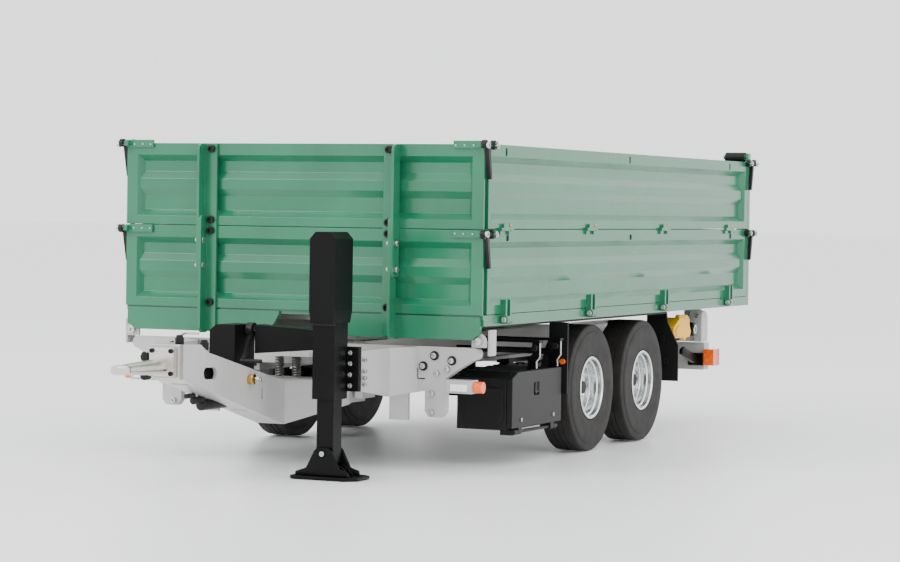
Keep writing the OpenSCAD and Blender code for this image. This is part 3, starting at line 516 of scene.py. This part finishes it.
# Brass air coupling in the side of the drawbar, with a stepped collar and a plated cap nut
coupling_y, coupling_z = -59.4, 42.2
collar = rod(0, 0, 0, 2.2, 2.6, "+x", 18)
choose_faces(collar, lambda c, n: n.z > 0.9)
bpy.ops.mesh.inset(thickness=0.0006, depth=0)
bpy.ops.mesh.extrude_region_move(TRANSFORM_OT_translate={"value": (0, 0, 0.0012)})
bpy.ops.mesh.inset(thickness=0.0004, depth=-0.0004)
bpy.ops.object.mode_set(mode="OBJECT")
collar.location = at(7.1, coupling_y, coupling_z)
settle(collar, "air_coupling", brass, "drawbar", 0.2)
cap = nut(1.5, 1.6)
cap.location = at(10.8, coupling_y, coupling_z)
cap.rotation_euler = TURNS["+x"]
settle(cap, "air_coupling_cap", zinc, "drawbar", 0.0)


def dust_cap(x, y, z, way):
    """A black dust cap with a stepped, slightly dished top"""
    skirt = rod(x, y, z, 1.9, 3.2, way, 20)
    choose_faces(skirt, lambda c, n: n.z > 0.9)
    bpy.ops.mesh.inset(thickness=0.0004, depth=0)
    bpy.ops.mesh.extrude_region_move(TRANSFORM_OT_translate={"value": (0, 0, 0.0009)})
    bpy.ops.mesh.inset(thickness=0.0005, depth=0.0002)
    bpy.ops.object.mode_set(mode="OBJECT")
    return skirt


def joined(*pieces):
    """Joins shaped pieces into one, which keeps the first one's object"""
    deselect()
    for piece in pieces:
        piece.select_set(True)
    bpy.context.view_layer.objects.active = pieces[0]
    bpy.ops.object.transform_apply(location=True, rotation=True, scale=True)
    bpy.ops.object.join()
    return bpy.context.object


# Two caps beside the eye and two on top of the drawbar
caps = joined(dust_cap(-9.4, -117.6, 54.0, "-y"), dust_cap(-9.4, -117.6, 46.2, "-y"),
              dust_cap(2.6, -112.4, 59.0, "+z"), dust_cap(4.6, -95.0, 56.4, "+z"))
settle(caps, "coupling_dust_caps", black_sheet, "drawbar", 0.15)
hook = plate([(-2.4, 59.2), (-1.0, 59.2), (1.4, 62.6), (3.4, 63.6), (9.6, 63.4), (9.6, 64.2),
              (3, 64.8), (0.6, 63.6)], "y", -109.6, 1.4)
settle(hook, "hose_hook", zinc, "drawbar", 0.2)
fittings = joined(rod(-4, -95, 36.4, 1.1, 7, "+y", 20), rod(-4, -89, 34.2, 1.7, 8, "+y", 20),
                  rod(-4, -82.4, 31.9, 2.4, 24, "+y", 24))
settle(fittings, "hose_fittings", black_steel, "drawbar", 0.3)


# --- Parking jack --------------------------------------------------------------------------------
# A square tube with a cover for the rising leg, a gear housing on a cross arm and a folding crank.
# All painted black but the crank, which is blackened steel. Four screws hold the flange, and four
# more the console beside it.

def box(x0, x1, y0, y1, z0, z1):
    """A block between two corners in mm, left selected and active"""
    deselect()
    middle = at((x0 + x1) / 2, (y0 + y1) / 2, (z0 + z1) / 2)
    bpy.ops.mesh.primitive_cube_add(size=1, location=middle)
    piece = bpy.context.object
    piece.scale = ((x1 - x0) / 1000, (y1 - y0) / 1000, (z1 - z0) / 1000)
    bpy.ops.object.transform_apply(location=False, rotation=False, scale=True)
    return piece


finish_nodes(black_enamel, "jack_tube", "jack_gearbox", "jack_leg")
finish_nodes(black_steel, "jack_crank")
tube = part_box("jack_tube")
tube_front = (tube[0].y - front_y) * 1000
leg_x = (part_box("jack_leg")[0].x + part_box("jack_leg")[1].x) * 500
flange_screws = repeated(cap_screw(1.15, 1.0),
                         [(46.9, -41.1, z, "-y") for z in (54.4, 49.7, 44.9, 40.1)])
settle(flange_screws, "jack_flange_screws", zinc, "chassis", 0.0)
console_screws = repeated(cap_screw(0.9, 1.9),
                          [(50, -35.4, z, "+x") for z in (51.2, 46.2, 43.2, 40.4)])
settle(console_screws, "console_screws", zinc, "chassis", 0.0)
cover_band = box(leg_x - 5.5, leg_x + 5.5, tube_front - 0.45, tube_front + 0.5, 66.4, 67.4)
choose_faces(cover_band, lambda c, n: n.y < -0.9)
bpy.ops.mesh.inset(thickness=0.0002, depth=0)
settle(cover_band, "jack_cover_seam", black_steel, "chassis", 0.2)
hub = nut(2.0, 1.2)
hub.rotation_euler = TURNS["+x"]
hub.location = at(2.6, -46.7, 63.2)
settle(hub, "crank_nut", zinc, "jack_crank", 0.0)

# The foot: a pressed sole, two cheeks with ribs between them, and a hinge pin with plated heads
foot_y = -47.5
foot_half, cheek_thick = 6.2, 1.5
foot_pin_z = 11
sole = plate([(leg_x - 13.6, -57), (leg_x - 11, -57.5), (leg_x + 12.5, -57.5), (leg_x + 17, -53.5),
              (leg_x + 17, -41.5), (leg_x + 12.5, -37.5), (leg_x - 11, -37.5), (leg_x - 15, -40),
              (leg_x - 15, -55)], "z", 0.0, 1.5)
choose_faces(sole, lambda c, n: n.z > 0.9)
bpy.ops.mesh.inset(thickness=0.0012, depth=-0.0003)
settle(sole, "jack_foot_sole", black_enamel, "jack_foot", 0.3)
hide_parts("jack_foot")
cheeks = joined(*[plate([(leg_x - 13.2, 1.3), (leg_x + 12.5, 1.3), (leg_x + 12, 3.4),
                         (leg_x + 8, 4.6), (leg_x + 4.2, 12.2), (leg_x + 2.6, 13.6),
                         (leg_x - 2.6, 13.6), (leg_x - 4.2, 12.2), (leg_x - 8, 4.8),
                         (leg_x - 13.2, 3.0)], "y", y, cheek_thick)
                  for y in (foot_y - foot_half, foot_y + foot_half - cheek_thick)])
settle(cheeks, "jack_foot_cheeks", black_enamel, "jack_foot", 0.35)
ribs = joined(*[plate([(leg_x + sx * 6, 1.3), (leg_x + sx * 11.5, 1.3), (leg_x + sx * 8.5, 4.6),
                       (leg_x + sx * 6, 6.0)], "y", foot_y - foot_half + dy, 0.9)
                for sx in (-1, 1) for dy in (3.7, 7.8)])
settle(ribs, "jack_foot_ribs", black_enamel, "jack_foot", 0.2)
pin_heads = repeated(cap_screw(1.15, 0.9, 0.4),
                     [(leg_x, foot_y - foot_half, foot_pin_z, "-y"),
                      (leg_x, foot_y + foot_half, foot_pin_z, "+y")])
settle(pin_heads, "jack_foot_pin_heads", zinc, "jack_foot", 0.0)
shaft = rod(leg_x, foot_y - foot_half, foot_pin_z, 1.2, 2 * foot_half, "+y", 20)
choose_faces(shaft, lambda c, n: abs(n.z) > 0.9)
bpy.ops.mesh.inset(thickness=0.0003, depth=0)
settle(shaft, "jack_foot_pin", black_steel, "jack_foot", 0.1)


# --- Toolbox -------------------------------------------------------------------------------------
# A moulded black box under the bed with a drop door, hung from two bent steel straps with black
# knobs. The door has a U-shaped pull and two plated screws; a panel is pressed into the front end.

# Moulded polypropylene: charcoal black, a dull sheen and a leathery grain
moulded, shader, place = blank("moulded_polypropylene")
cell = add(moulded, "TexNoise", Vector=place, Scale=1300.0, Detail=3.0)
tone = add(moulded, "ValToRGB", Fac=cell.outputs["Fac"])
tone.color_ramp.elements[0].color = linear("#0f0e10")
tone.color_ramp.elements[1].color = linear("#181618")
edge = add(moulded, "Bevel", {"samples": 6}, Radius=0.0006)
grain = add(moulded, "Bump", Height=cell.outputs["Fac"], Strength=0.2, Distance=0.00005,
            Normal=edge.outputs["Normal"])
moulded.node_tree.links.new(tone.outputs["Color"], shader.inputs["Base Color"])
moulded.node_tree.links.new(grain.outputs["Normal"], shader.inputs["Normal"])
shader.inputs["Roughness"].default_value = 0.42
shader.inputs["Specular IOR Level"].default_value = 0.2
finish_nodes(moulded, "toolbox_shell", "toolbox_door")
finish_nodes(black_enamel, "toolbox_straps")
strap_ys = (74, 100)
knob_x, knob_z = 86.2, 53.2
door_screws = repeated(cap_screw(0.95, 0.5), [(87.5, 55, 20.9, "+x"), (87.5, 94, 21.1, "+x")])
settle(door_screws, "toolbox_door_screws", zinc, "toolbox_door", 0.0)
pull_x, pull_z, pull_radius = 87.3, 33, 0.5
pull = joined(rod(pull_x, 71.4, pull_z, pull_radius, 4.2, "+z", 16),
              rod(pull_x, 75.0, pull_z, pull_radius, 4.2, "+z", 16),
              rod(pull_x, 71.4, pull_z, pull_radius, 3.6, "+y", 16))
settle(pull, "toolbox_door_pull", black_steel, "toolbox_door", 0.0)
knobs = repeated(cap_screw(1.5, 1.6, 0.35), [(knob_x, y, knob_z, "-y") for y in strap_ys])
settle(knobs, "strap_knobs", black_steel, "chassis", 0.0)
strap_edges = joined(*[plate([(86.6, 43.6), (86.9, 43.6), (86.8, 46.6), (88.5, 49), (88.5, 55.4),
                              (88.2, 55.4), (88.2, 49), (86.4, 46.7)], "y", y - 0.1, 1.3)
                       for y in strap_ys])
settle(strap_edges, "strap_cut_edges", zinc, "chassis", 0.0)
box_panel = plate([(63, 20.5), (65, 18.5), (81, 18.5), (83, 20.5), (83, 34), (81, 36), (65, 36),
                   (63, 34)], "y", 43.5, 0.6)
choose_faces(box_panel, lambda c, n: n.y < -0.9)
bpy.ops.mesh.inset(thickness=0.0012, depth=-0.0003)
settle(box_panel, "toolbox_end_panel", moulded, "chassis", 0.15)


# --- Rear brackets, lamps and chocks -------------------------------------------------------------
# Moulded lamp lenses in clear colours over a prism pattern, white marker lenses, and two yellow
# plastic wheel chocks in painted holders. Grey end plates and plated caps close the rear ends.

def lens(name, light, deep):
    """Moulded acrylic: saturated and glossy, with prisms about 1.4 mm apart"""
    material, shader, place = blank(name)
    prisms = add(material, "TexVoronoi", {"distance": "MANHATTAN"}, Vector=place, Scale=700.0)
    tone = add(material, "ValToRGB", Fac=prisms.outputs["Distance"])
    tone.color_ramp.elements[0].color = linear(deep)
    tone.color_ramp.elements[1].color = linear(light)
    relief = add(material, "Bump", Height=prisms.outputs["Distance"], Strength=0.25,
                 Distance=0.00008)
    material.node_tree.links.new(tone.outputs["Color"], shader.inputs["Base Color"])
    material.node_tree.links.new(relief.outputs["Normal"], shader.inputs["Normal"])
    shader.inputs["Roughness"].default_value = 0.15
    shader.inputs["IOR"].default_value = 1.49
    shader.inputs["Coat Weight"].default_value = 0.2
    return material


finish_nodes(lens("amber_acrylic", "#ff6a00", "#dc4a00"), "amber_lenses")
finish_nodes(lens("red_acrylic", "#d8304c", "#a01430"), "red_lenses")
finish_nodes(lens("white_acrylic", "#f7f7f4", "#dfe2e4"), "marker_lamps")

# Yellow polyethylene: strong colour, waxy sheen, tiny sink marks
yellow, shader, place = blank("yellow_polyethylene")
sink = add(yellow, "TexNoise", Vector=place, Scale=260.0, Detail=2.0)
tone = add(yellow, "ValToRGB", Fac=sink.outputs["Fac"])
tone.color_ramp.elements[0].color = linear("#e6ac00")
tone.color_ramp.elements[1].color = linear("#ffc300")
wax = add(yellow, "Bump", Height=sink.outputs["Fac"], Strength=0.2, Distance=0.0001)
yellow.node_tree.links.new(tone.outputs["Color"], shader.inputs["Base Color"])
yellow.node_tree.links.new(wax.outputs["Normal"], shader.inputs["Normal"])
shader.inputs["Roughness"].default_value = 0.35
shader.inputs["Specular IOR Level"].default_value = 0.25
finish_nodes(yellow, "wheel_chocks")
end_plate_y = 329.2
for side, sign in (("right", 1), ("left", -1)):
    grip = joined(plate([(283, 58), (286, 62.5), (300, 62), (303, 59.5), (303, 55.5), (300, 51),
                         (296, 48), (292, 50), (297, 54), (299, 57), (297, 59), (288, 59)], "x",
                        sign * 81.4 - 1.2, 2.4),
                  plate([(276, 51), (281, 51), (281, 57), (276, 55)], "x", sign * 84.2 - 0.5, 1.0))
    settle(grip, "chock_grip_" + side, yellow, "chassis", 0.4)
    # end plate of the rear bolster, with its pointed lower corner
    end_plate = plate([(sign * 70, 64), (sign * 80.4, 64), (sign * 80.4, 46.6), (sign * 77.6, 50.4),
                       (sign * 70, 52.4)], "y", end_plate_y, 1.2)
    settle(end_plate, "rear_end_plate_" + side, grey_enamel, "chassis", 0.2)
rear_screws = repeated(cap_screw(1.1, 0.9),
                       both([(77.8, end_plate_y, 60.6, "-y"), (73, end_plate_y, 61.6, "-y")]))
settle(rear_screws, "rear_end_plate_screws", zinc, "chassis", 0.0)
tube_ends = repeated(cap_screw(2.6, 0.8, 0.5), both([(80, 318, 53.5, "+x")]))
settle(tube_ends, "cross_tube_caps", zinc, "chassis", 0.0)
lamp_arms = joined(*[plate([(305, 43), (309, 44.2), (331, 37.6), (331, 34.2), (324, 34.8),
                            (305, 40.4)], "x", sign * 77 - 1, 2.0) for sign in (1, -1)])
settle(lamp_arms, "lamp_arms", black_enamel, "chassis", 0.3)


# --- Load bed ------------------------------------------------------------------------------------
# Folded and pressed steel sheet, sprayed with green gloss enamel. The floor frame underneath is
# grey behind its green front skirt. Two folded posts with black screws hold the front boards.

# Green gloss enamel: deep and even, wet-looking, with long soft reflections
green_enamel = sprayed("green_gloss_enamel", "#1d7350", "#176646", 0.22, 0.25, 1.6, 0.02)
finish_nodes(green_enamel, "bed_floor", "front_board_lower", "front_board_upper", "front_posts",
             "corner_posts", "latch_keepers", "side_lower_right", "side_upper_right",
             "side_lower_left", "side_upper_left", "tailgate_upper", "tailgate_lower")

# The floor frame: green where the front skirt is, a dull mid grey behind it
frame_paint = sprayed("bed_frame_enamel", "#1d7350", "#176646", 0.3, 0.2, 1.4, 0.02)
tree = frame_paint.node_tree
place = add(frame_paint, "TexCoord").outputs["Object"]
parts = add(frame_paint, "SeparateXYZ", Vector=place)
behind = add(frame_paint, "Math", {"operation": "GREATER_THAN"})
behind.inputs[1].default_value = front_y + 0.0025
tree.links.new(parts.outputs["Y"], behind.inputs[0])
two_coats = add(frame_paint, "Mix", {"data_type": "RGBA"})
shader = tree.nodes["Principled BSDF"]
tree.links.new(behind.outputs["Value"], two_coats.inputs[0])
tree.links.new(shader.inputs["Base Color"].links[0].from_socket, two_coats.inputs[6])
two_coats.inputs[7].default_value = linear("#8f8d89")
tree.links.new(two_coats.outputs[2], shader.inputs["Base Color"])
finish_nodes(frame_paint, "bed_subframe")

wall_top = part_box("front_board_upper")[1].z * 1000
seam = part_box("front_board_upper")[0].z * 1000
post_zs = [73, seam - 2.6, seam + 2.4, wall_top - 2.6]
post_screws = repeated(cap_screw(1.75, 1.5, 0.55), both([(45.2, -1.3, z, "-y") for z in post_zs]))
settle(post_screws, "post_flange_screws", black_steel, "bed", 0.0)
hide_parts("post_bolts")
rib_y = -4
rib_zs = (seam - 7, seam - 18.6)
rib_screws = repeated(cap_screw(1.45, 1.5),
                      [(x, rib_y, z, "+x") for x in (50.1, -48.8) for z in rib_zs])
settle(rib_screws, "post_rib_screws", zinc, "bed", 0.0)
rib_nuts = repeated(nut(1.2, 1.2),
                    [(x, rib_y, z, "-x") for x in (47.5, -50.1) for z in rib_zs])
settle(rib_nuts, "post_rib_nuts", zinc, "bed", 0.0)
latch_zs = {"upper": wall_top - 0.6, "lower": seam - 2.1}
rivet_heads = repeated(cap_screw(0.42, 0.35, 0.5),
                       [(sign * x, -1.1, z, "-y") for sign in (1, -1)
                        for z in latch_zs.values() for x in (77.8, 82, 86.4)])
settle(rivet_heads, "keeper_rivets", zinc, "bed", 0.0)


# --- Side walls and tailgate ---------------------------------------------------------------------
# Pressed boards that fold down in two leaves on forked hinges with plated screws. Brass screws
# hold the seam hinges, and a black plastic sleeve covers each top barrel of the tailgate.

hinge_ys = [23.5 + 105.4 * i for i in range(4)]
hinge_x, hinge_z, fork_half = 93, 68.2, 3.3
lock_x = 90.2
sleeve_y, sleeve_z = 376.3, 149.3
for side, sign in (("right", 1), ("left", -1)):
    way = "+x" if sign > 0 else "-x"
    brass_screws = repeated(cap_screw(0.85, 0.45), [(sign * 91, y + dy, seam + 1.9, way)
                                                   for y in hinge_ys for dy in (0.2, 6.8)])
    settle(brass_screws, "seam_hinge_screws_" + side, brass, "side_upper_" + side,
           0.0)
    hinge_screws = repeated(cap_screw(1.35, 1.1),
                            [(sign * hinge_x, y - fork_half, hinge_z, "-y") for y in hinge_ys])
    settle(hinge_screws, "hinge_screws_" + side, zinc, "side_lower_" + side, 0.0)
    hinge_nuts = repeated(nut(1.5, 1.1),
                          [(sign * hinge_x, y + fork_half, hinge_z, "+y") for y in hinge_ys])
    settle(hinge_nuts, "hinge_nuts_" + side, zinc, "side_lower_" + side, 0.0)
    locks = joined(*[box(sign * lock_x - 0.6, sign * lock_x + 0.6, y - 1.5, y + 1.5,
                         seam - 4.6, seam - 1.8) for y in (27.3, 186, 344.5)])
    choose_faces(locks, lambda c, n: n.x * sign > 0.9)
    bpy.ops.mesh.inset(thickness=0.0004, depth=-0.0004, use_individual=True)
    settle(locks, "lock_sockets_" + side, black_steel, "side_lower_" + side, 0.1)
    sleeve = rod(sign * 77.4, sleeve_y, sleeve_z, 2.75, 11.6, way)
    choose_faces(sleeve, lambda c, n: abs(n.z) > 0.9)
    bpy.ops.mesh.inset(thickness=0.0006, depth=-0.0005)
    settle(sleeve, "tailgate_sleeve_" + side, black_sheet, "tailgate_upper", 0.2)


# --- Latches -------------------------------------------------------------------------------------
# Blackened steel levers that hook over a pin at each corner, one for each leaf. Each turns on its
# own nut, and the pin it hooks over has a plated end.

nut_ys = {"front": 7.2, "rear": 371.8}
pin_ys = {"front": -2.5, "rear": 381.5}
for row in ("front", "rear"):
    for level in ("upper", "lower"):
        for side, sign in (("right", 1), ("left", -1)):
            name = "latch_%s_%s_%s" % (row, level, side)
            finish_nodes(black_steel, name)
            way = "+x" if sign > 0 else "-x"
            z = latch_zs[level]
            pivot = repeated(nut(1.5, 1.3), [(sign * 93.3, nut_ys[row], z, way)])
            settle(pivot, name + "_nut", zinc, name, 0.0)
            pin_end = repeated(cap_screw(1.5, 1.2, 0.4), [(sign * 93.4, pin_ys[row], z, way)])
            settle(pin_end, name + "_pin_end", zinc, "bed", 0.0)


# --- Tipping cylinder ----------------------------------------------------------------------------
# A black painted barrel with four stages, hard-chromed and ground, which slide out of each other
# as the bed tilts. The barrel has the axles' enamel.

# Hard chrome: bluish, mirror-smooth, only a breath of grinding haze
chrome, shader, place = blank("hard_chrome")
haze = add(chrome, "TexNoise", Vector=place, Scale=600.0, Detail=2.0)
rub = add(chrome, "MapRange", Value=haze.outputs["Fac"], To_Min=0.06, To_Max=0.14)
chrome.node_tree.links.new(rub.outputs["Result"], shader.inputs["Roughness"])
shader.inputs["Base Color"].default_value = linear("#d3d7da")
shader.inputs["Metallic"].default_value = 1.0
finish_nodes(chrome, "cylinder_stage_1", "cylinder_stage_2", "cylinder_stage_3", "cylinder_stage_4")


# --- Floor, light and camera ---------------------------------------------------------------------
# A white studio floor and sky, with a soft key lamp at the front left, one above and one at the
# right.

bpy.ops.mesh.primitive_plane_add(size=30, location=(0, 0, -0.0002))
floor = bpy.context.object
floor.name = "studio_floor"
paper, shader, place = blank("studio_floor_paper")
fibre = add(paper, "TexNoise", Vector=place, Scale=30.0, Detail=2.0)
tone = add(paper, "ValToRGB", Fac=fibre.outputs["Fac"])
tone.color_ramp.elements[0].color = linear("#f1f1f1")
tone.color_ramp.elements[1].color = linear("#f6f6f6")
paper.node_tree.links.new(tone.outputs["Color"], shader.inputs["Base Color"])
shader.inputs["Roughness"].default_value = 0.35
floor.data.materials.append(paper)

world = bpy.data.worlds.new("studio_sky")
bpy.context.scene.world = world
world.use_nodes = True
world.node_tree.nodes["Background"].inputs["Color"].default_value = (0.96, 0.97, 0.98, 1)
world.node_tree.nodes["Background"].inputs["Strength"].default_value = 2.0


def lamp(name, where, target, size, power):
    """A square soft lamp, in metres and watts, that faces its target"""
    light = bpy.data.lights.new(name, "AREA")
    light.energy = power
    light.size = size
    holder = bpy.data.objects.new(name, light)
    bpy.context.scene.collection.objects.link(holder)
    holder.location = where
    holder.rotation_euler = (Vector(target) - Vector(where)).to_track_quat("-Z", "Y").to_euler()


lamp("left_softbox", (-0.8, -1.15, 0.9), (0, 0, 0.08), 0.35, 9)
lamp("top_softbox", (0.1, -0.2, 1.3), (0, 0.05, 0), 1.1, 4)
lamp("right_softbox", (1.2, -0.5, 0.7), (0, 0.1, 0.08), 0.8, 4)

camera = bpy.data.cameras.new("camera")
camera.sensor_width = 36
camera.lens = 108.8
camera.clip_end = 30
viewer = bpy.data.objects.new("camera", camera)
bpy.context.scene.collection.objects.link(viewer)
heading, pitch, roll = (math.radians(angle) for angle in (24.181, 1.478, 0.829))
forward = Vector((-math.sin(heading) * math.cos(pitch), math.cos(heading) * math.cos(pitch),
                  -math.sin(pitch)))
level = Vector((math.cos(heading), math.sin(heading), 0))
upright = level.cross(forward)
side_way = level * math.cos(roll) + upright * math.sin(roll)
up_way = upright * math.cos(roll) - level * math.sin(roll)
view = Matrix((side_way, up_way, -forward)).transposed().to_4x4()
view.translation = (0.56903, front_y - 1.09962, 0.11662)
viewer.matrix_world = view
bpy.context.scene.camera = viewer
